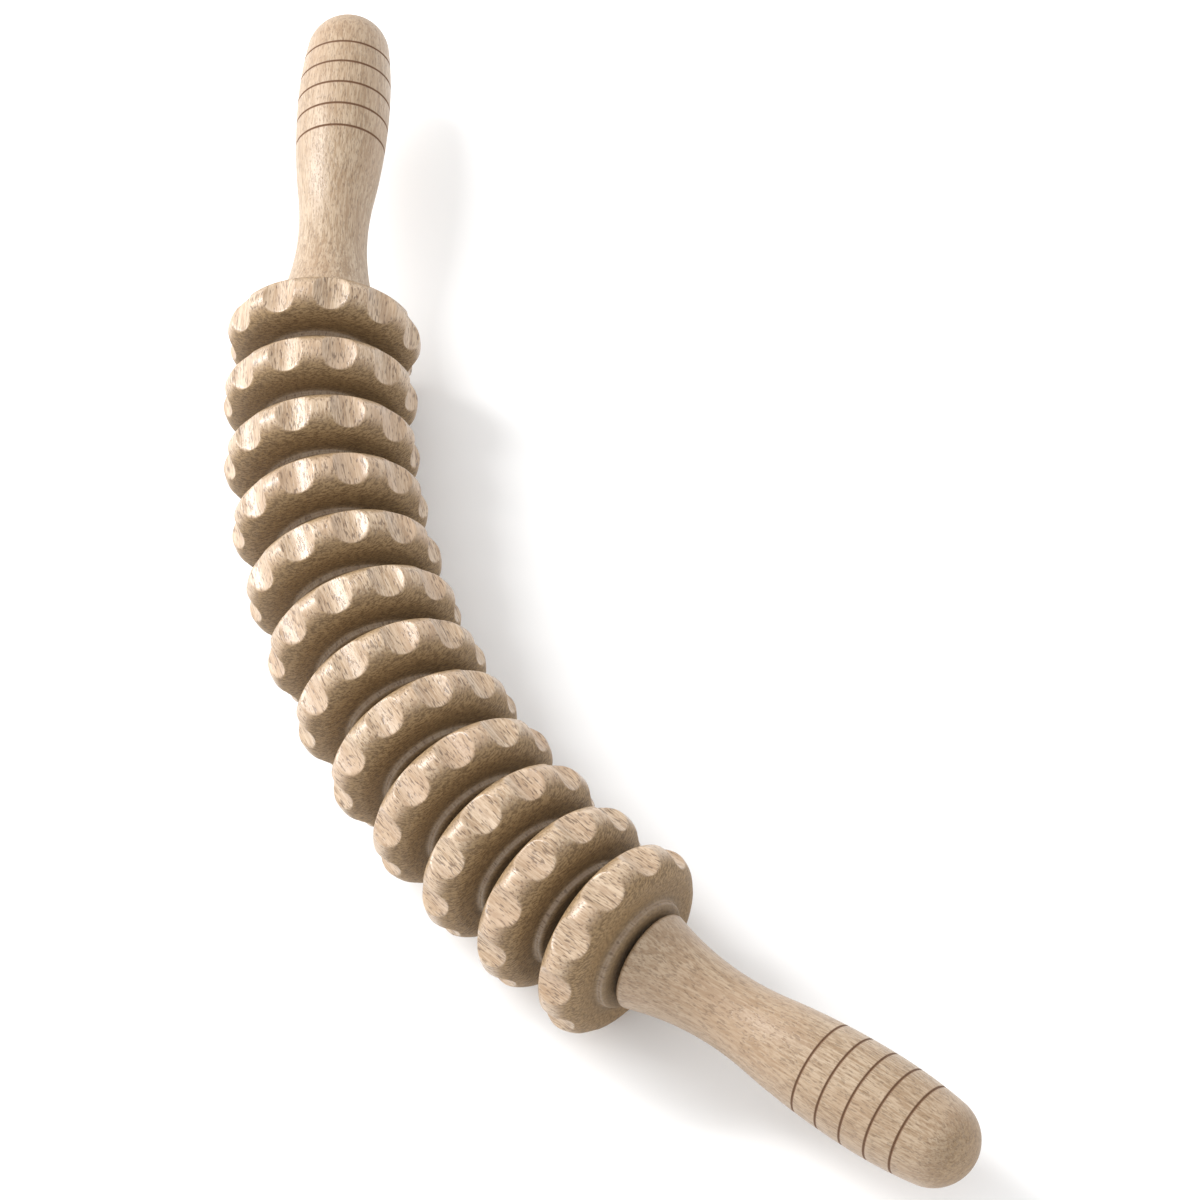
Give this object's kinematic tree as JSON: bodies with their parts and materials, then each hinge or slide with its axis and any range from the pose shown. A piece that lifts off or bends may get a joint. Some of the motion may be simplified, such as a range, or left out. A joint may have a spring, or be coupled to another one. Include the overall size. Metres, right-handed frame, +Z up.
{
  "type": "massage roller",
  "caption": "Curved hand massage roller: fluted wooden wheels turn freely on a bent steel rod between two turned wooden handles.",
  "frame": {"origin": "on the floor plane below the middle of the roller's box, lowest wheel ridge at Z = 0", "axes": "+X along the length towards the near handle, -Y towards the outside of the bend, +Z up with the bend lying flat"},
  "size_m": [0.3802, 0.1049, 0.05],
  "materials": {
    "wheel_wood": "satin",
    "handle_wood": "satin",
    "rod_steel": "satin",
    "insert_brass": "satin",
    "washer_steel": "satin"
  },
  "bodies": {
    "core": {"core_rod": "rod_steel", "handle_far": "handle_wood", "handle_near": "handle_wood", "insert_far": "insert_brass", "insert_near": "insert_brass", "washer_far": "washer_steel", "washer_near": "washer_steel"},
    "wheel_body_01": {"wheel_01": "wheel_wood"},
    "wheel_body_02": {"wheel_02": "wheel_wood"},
    "wheel_body_03": {"wheel_03": "wheel_wood"},
    "wheel_body_04": {"wheel_04": "wheel_wood"},
    "wheel_body_05": {"wheel_05": "wheel_wood"},
    "wheel_body_06": {"wheel_06": "wheel_wood"},
    "wheel_body_07": {"wheel_07": "wheel_wood"},
    "wheel_body_08": {"wheel_08": "wheel_wood"},
    "wheel_body_09": {"wheel_09": "wheel_wood"},
    "wheel_body_10": {"wheel_10": "wheel_wood"},
    "wheel_body_11": {"wheel_11": "wheel_wood"},
    "wheel_body_12": {"wheel_12": "wheel_wood"}
  },
  "joints": [
    {"name": "wheel_01_spin", "type": "hinge", "parent": "core", "child": "wheel_body_01", "pos_m": [-0.09691, -0.00086, 0.025], "axis": [0.889, -0.4579, 0], "continuous": true},
    {"name": "wheel_02_spin", "type": "hinge", "parent": "core", "child": "wheel_body_02", "pos_m": [-0.0805, -0.00896, 0.025], "axis": [0.9125, -0.4091, 0], "continuous": true},
    {"name": "wheel_03_spin", "type": "hinge", "parent": "core", "child": "wheel_body_03", "pos_m": [-0.0635, -0.01572, 0.025], "axis": [0.9444, -0.3289, 0], "continuous": true},
    {"name": "wheel_04_spin", "type": "hinge", "parent": "core", "child": "wheel_body_04", "pos_m": [-0.04598, -0.02099, 0.025], "axis": [0.9692, -0.2463, 0], "continuous": true},
    {"name": "wheel_05_spin", "type": "hinge", "parent": "core", "child": "wheel_body_05", "pos_m": [-0.02807, -0.02472, 0.025], "axis": [0.9868, -0.1618, 0], "continuous": true},
    {"name": "wheel_06_spin", "type": "hinge", "parent": "core", "child": "wheel_body_06", "pos_m": [-0.00991, -0.0269, 0.025], "axis": [0.9971, -0.0761, 0], "continuous": true},
    {"name": "wheel_07_spin", "type": "hinge", "parent": "core", "child": "wheel_body_07", "pos_m": [0.00837, -0.0275, 0.025], "axis": [0.9999, 0.0101, 0], "continuous": true},
    {"name": "wheel_08_spin", "type": "hinge", "parent": "core", "child": "wheel_body_08", "pos_m": [0.02664, -0.02653, 0.025], "axis": [0.9954, 0.0963, 0], "continuous": true},
    {"name": "wheel_09_spin", "type": "hinge", "parent": "core", "child": "wheel_body_09", "pos_m": [0.04476, -0.02398, 0.025], "axis": [0.9833, 0.1818, 0], "continuous": true},
    {"name": "wheel_10_spin", "type": "hinge", "parent": "core", "child": "wheel_body_10", "pos_m": [0.06259, -0.01988, 0.025], "axis": [0.964, 0.2659, 0], "continuous": true},
    {"name": "wheel_11_spin", "type": "hinge", "parent": "core", "child": "wheel_body_11", "pos_m": [0.08, -0.01426, 0.025], "axis": [0.9375, 0.348, 0], "continuous": true},
    {"name": "wheel_12_spin", "type": "hinge", "parent": "core", "child": "wheel_body_12", "pos_m": [0.09686, -0.00717, 0.025], "axis": [0.904, 0.4275, 0], "continuous": true}
  ]
}
